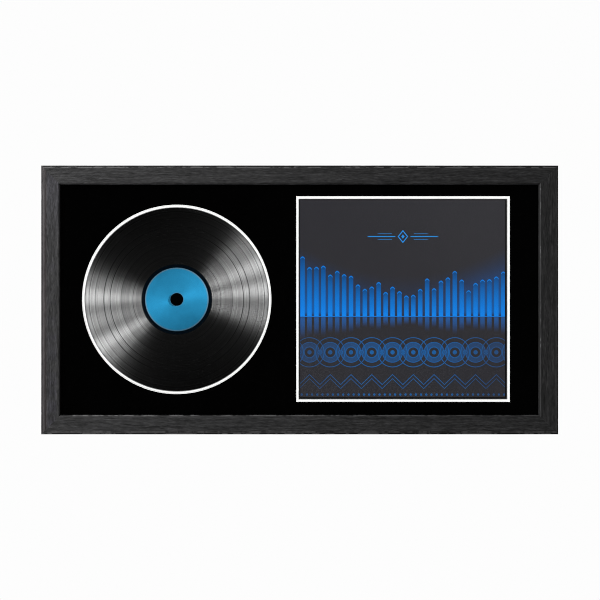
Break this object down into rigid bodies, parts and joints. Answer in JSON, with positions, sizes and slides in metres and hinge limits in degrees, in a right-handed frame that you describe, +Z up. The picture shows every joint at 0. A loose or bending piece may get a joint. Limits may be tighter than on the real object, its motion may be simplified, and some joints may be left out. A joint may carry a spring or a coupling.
{
  "type": "record display frame",
  "caption": "Wall frame with a mitred black wood moulding, glass, bevelled mounts, a record in a round window and its sleeve front in a square window.",
  "frame": {"origin": "the centre of the back, on the rear face of the backing board, which is flush with the rear faces of the rails", "axes": "+X to the right as the front is looked at, +Y out of the back towards the wall, +Z up; the front faces -Y"},
  "size_m": [0.775, 0.0278, 0.403],
  "materials": {
    "stained_wood": "black-stained open-grain ash, satin",
    "steel_strip": "rolled strip, driven flush",
    "glass": "clear 2 mm sheet, polished",
    "black_mat": "matt black faced mount board with a white core at the bevel",
    "white_mat": "matt white mount board",
    "vinyl": "black pressed vinyl with fine concentric grooves",
    "label_paper": "plain blue uncoated label paper",
    "black_plastic": "moulded black, matt",
    "printed_card": "printed sleeve card, charcoal with a blue glow, satin",
    "foam_board": "white paper-faced foam board",
    "grey_board": "uncoated grey board",
    "black_board": "matt black board",
    "fibreboard": "raw medium-density fibreboard, fine even fibre",
    "zinc_plate": "zinc-plated pressed steel",
    "zinc_wire": "zinc-plated steel wire",
    "zinc_screw": "zinc-plated, cross recess",
    "rubber": "matt black self-adhesive bumper"
  },
  "bodies": {
    "frame": {"rail_top": "stained_wood", "rail_bottom": "stained_wood", "stile_left": "stained_wood", "stile_right": "stained_wood", "v_nail_top_left_outer": "steel_strip", "v_nail_top_left_inner": "steel_strip", "v_nail_top_right_outer": "steel_strip", "v_nail_top_right_inner": "steel_strip", "v_nail_bottom_left_outer": "steel_strip", "v_nail_bottom_left_inner": "steel_strip", "v_nail_bottom_right_outer": "steel_strip", "v_nail_bottom_right_inner": "steel_strip", "glass_pane": "glass", "top_mat": "black_mat", "inner_mat": "white_mat", "record_disc": "vinyl", "label_front": "label_paper", "label_back": "label_paper", "hub_base": "black_plastic", "hub_cap": "black_plastic", "cover_card": "printed_card", "cover_backer": "foam_board", "spacer_top": "grey_board", "spacer_bottom": "grey_board", "spacer_left": "grey_board", "spacer_right": "grey_board", "spacer_centre": "grey_board", "mount_board": "black_board", "backing_board": "fibreboard", "button_screw_top_left": "zinc_screw", "button_screw_top_centre": "zinc_screw", "button_screw_top_right": "zinc_screw", "button_screw_bottom_left": "zinc_screw", "button_screw_bottom_centre": "zinc_screw", "button_screw_bottom_right": "zinc_screw", "button_screw_side_left": "zinc_screw", "button_screw_side_right": "zinc_screw", "hanger_strap_left": "zinc_plate", "hanger_screw_left_upper": "zinc_screw", "hanger_screw_left_lower": "zinc_screw", "hanger_strap_right": "zinc_plate", "hanger_screw_right_upper": "zinc_screw", "hanger_screw_right_lower": "zinc_screw", "bumper_left": "rubber", "bumper_right": "rubber"},
    "turn_button_top_left": {"button_top_left": "zinc_plate"},
    "turn_button_top_centre": {"button_top_centre": "zinc_plate"},
    "turn_button_top_right": {"button_top_right": "zinc_plate"},
    "turn_button_bottom_left": {"button_bottom_left": "zinc_plate"},
    "turn_button_bottom_centre": {"button_bottom_centre": "zinc_plate"},
    "turn_button_bottom_right": {"button_bottom_right": "zinc_plate"},
    "turn_button_side_left": {"button_side_left": "zinc_plate"},
    "turn_button_side_right": {"button_side_right": "zinc_plate"},
    "ring_left": {"d_ring_left": "zinc_wire"},
    "ring_right": {"d_ring_right": "zinc_wire"}
  },
  "joints": [
    {"name": "button_turn_top_left", "type": "hinge", "parent": "frame", "child": "turn_button_top_left", "pos_m": [-0.25, 0.0009, 0.1865], "axis": [0, 1, 0], "range_deg": [-90, 90]},
    {"name": "button_turn_top_centre", "type": "hinge", "parent": "frame", "child": "turn_button_top_centre", "pos_m": [0, 0.0009, 0.1865], "axis": [0, 1, 0], "range_deg": [-90, 90]},
    {"name": "button_turn_top_right", "type": "hinge", "parent": "frame", "child": "turn_button_top_right", "pos_m": [0.25, 0.0009, 0.1865], "axis": [0, 1, 0], "range_deg": [-90, 90]},
    {"name": "button_turn_bottom_left", "type": "hinge", "parent": "frame", "child": "turn_button_bottom_left", "pos_m": [-0.25, 0.0009, -0.1865], "axis": [0, 1, 0], "range_deg": [-90, 90]},
    {"name": "button_turn_bottom_centre", "type": "hinge", "parent": "frame", "child": "turn_button_bottom_centre", "pos_m": [0, 0.0009, -0.1865], "axis": [0, 1, 0], "range_deg": [-90, 90]},
    {"name": "button_turn_bottom_right", "type": "hinge", "parent": "frame", "child": "turn_button_bottom_right", "pos_m": [0.25, 0.0009, -0.1865], "axis": [0, 1, 0], "range_deg": [-90, 90]},
    {"name": "button_turn_side_left", "type": "hinge", "parent": "frame", "child": "turn_button_side_left", "pos_m": [-0.3725, 0.0009, 0], "axis": [0, 1, 0], "range_deg": [-90, 90]},
    {"name": "button_turn_side_right", "type": "hinge", "parent": "frame", "child": "turn_button_side_right", "pos_m": [0.3725, 0.0009, 0], "axis": [0, 1, 0], "range_deg": [-90, 90]},
    {"name": "ring_swing_left", "type": "hinge", "parent": "frame", "child": "ring_left", "pos_m": [-0.376, 0.00305, 0.104], "axis": [1, 0, 0], "range_deg": [0, 180]},
    {"name": "ring_swing_right", "type": "hinge", "parent": "frame", "child": "ring_right", "pos_m": [0.376, 0.00305, 0.104], "axis": [1, 0, 0], "range_deg": [0, 180]}
  ]
}
